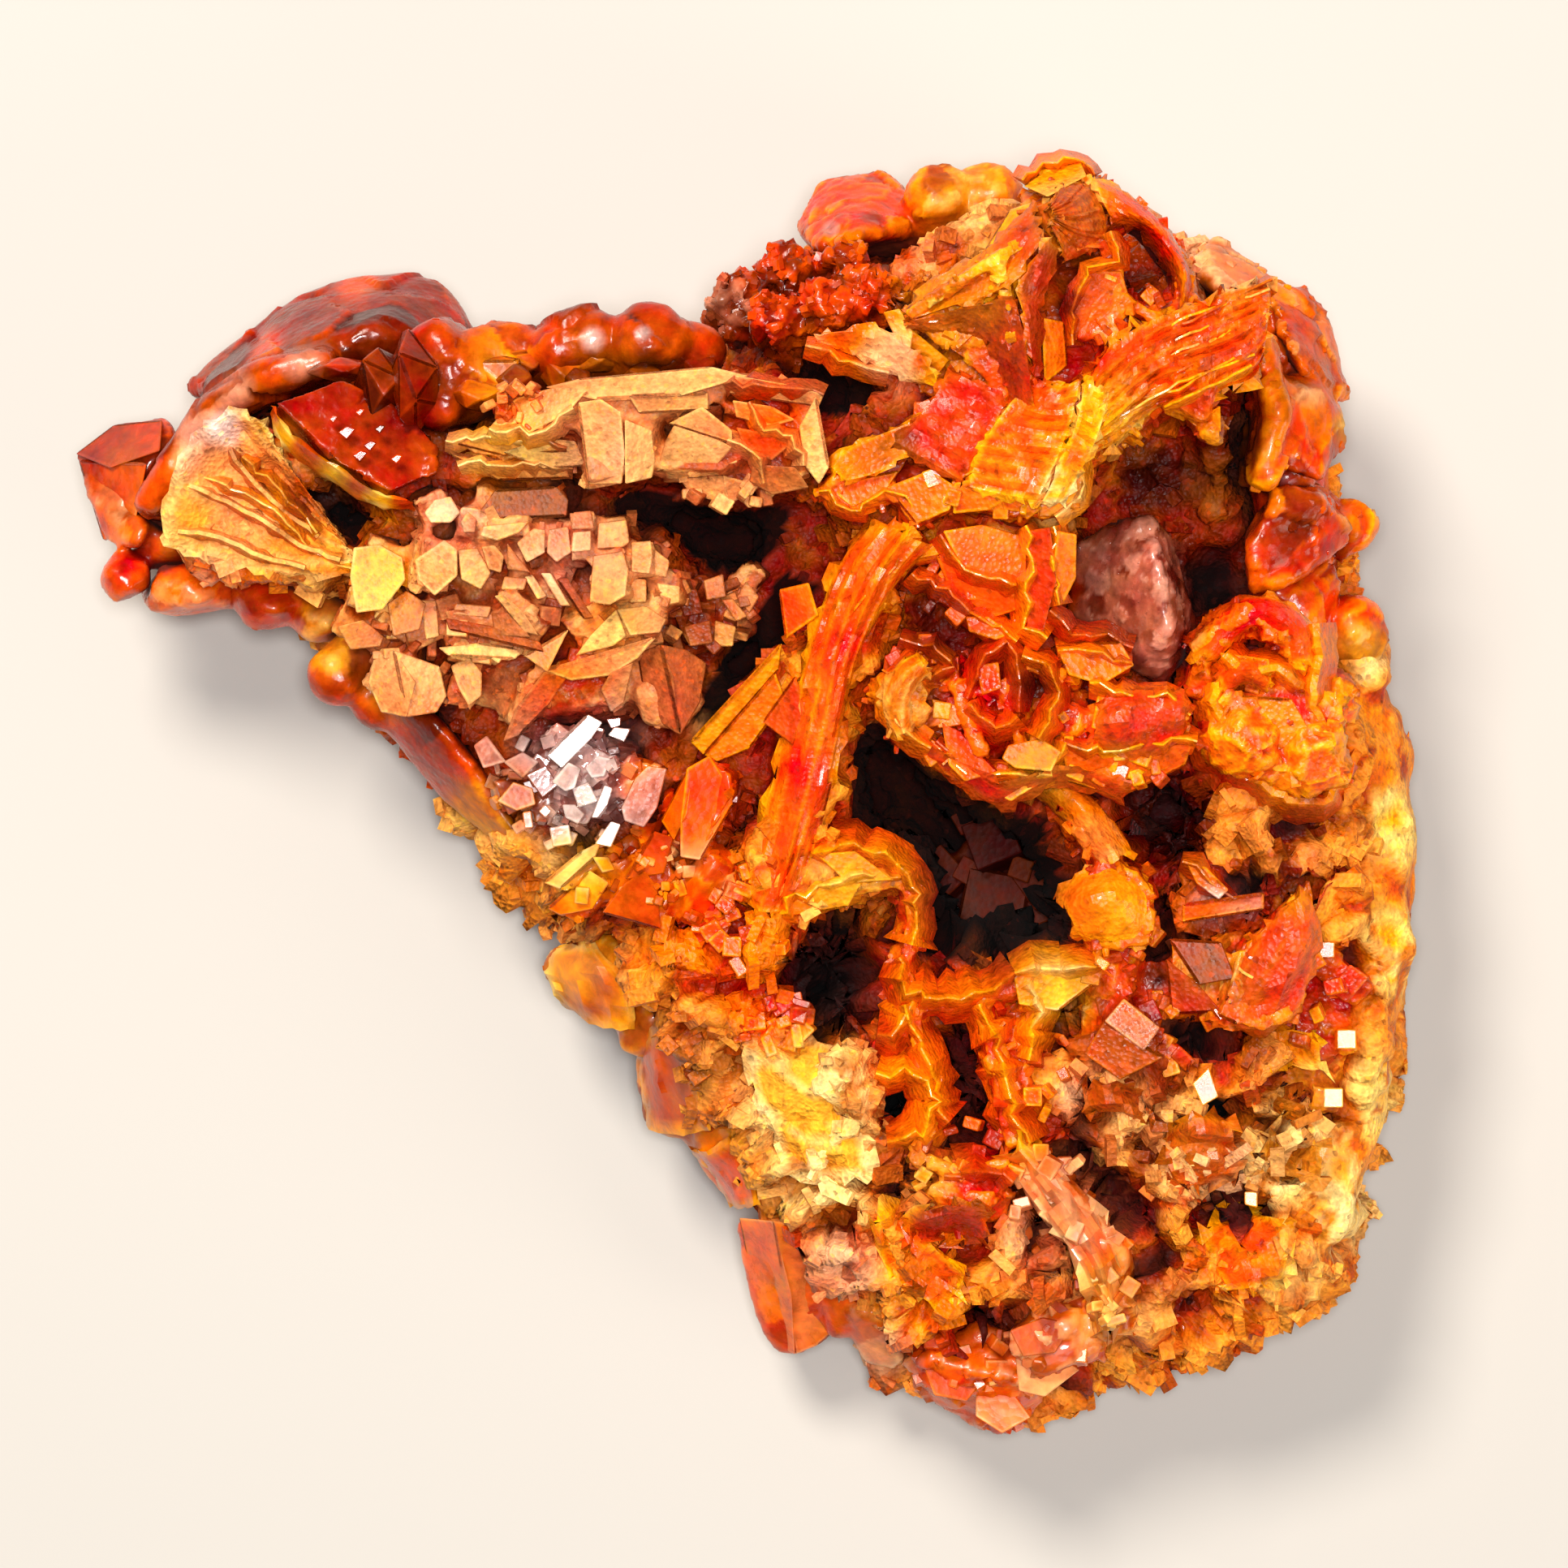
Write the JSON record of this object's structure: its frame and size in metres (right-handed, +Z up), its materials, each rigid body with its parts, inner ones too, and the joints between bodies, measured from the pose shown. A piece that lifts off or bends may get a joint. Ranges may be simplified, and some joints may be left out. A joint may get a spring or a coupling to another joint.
{
  "type": "vanadinite on matrix mineral specimen",
  "caption": "Ochre, pitted matrix covered with clusters, stacked plates and crossing blades of orange-red vanadinite crystals, lying on its flat back.",
  "frame": {"origin": "middle of the specimen's plan, on the surface that its flat back rests on", "axes": "+X along the longest extent, from the arm's tip to the body; +Y across it, towards the upper edge; +Z up from the rest face, the thinnest extent, towards the crystals"},
  "size_m": [0.0418, 0.0394, 0.0169],
  "materials": {
    "matrix": "rough iron-stained ochre rock",
    "tan_plates": "satin tan crystal faces with yellow rims",
    "orange_blades": "resinous orange crystal blades with cream rims",
    "red_crystals": "glassy deep red crystal",
    "peach_crystals": "smooth peach and salmon crystal points",
    "brown_crystals": "purple-brown crystal with bright flat faces",
    "dark_pocket": "dark brown crystal druse inside a hollow"
  },
  "bodies": {
    "root": {"matrix": "matrix", "ledge_plates": "tan_plates", "plate_stack": "tan_plates", "boxwork_blades": "orange_blades", "shelf_crystals": "orange_blades", "knob_ring_crystals": "orange_blades", "lattice_crystals": "orange_blades", "lower_rib_crystals": "orange_blades", "lower_right_crystals": "orange_blades", "leaning_crystals": "red_crystals", "tabular_crystal": "red_crystals", "crown_crystals": "red_crystals", "left_tip_crystal": "red_crystals", "edge_lens_crystal": "red_crystals", "top_peak_crystals": "red_crystals", "top_crust_crystals": "red_crystals", "right_wall_crystals": "red_crystals", "arm_fringe_crystals": "peach_crystals", "edge_spikes": "peach_crystals", "spear_crystal": "peach_crystals", "mirror_cluster": "brown_crystals", "pyramid_crystal": "brown_crystals", "pocket_crystals": "dark_pocket"}
  },
  "joints": []
}
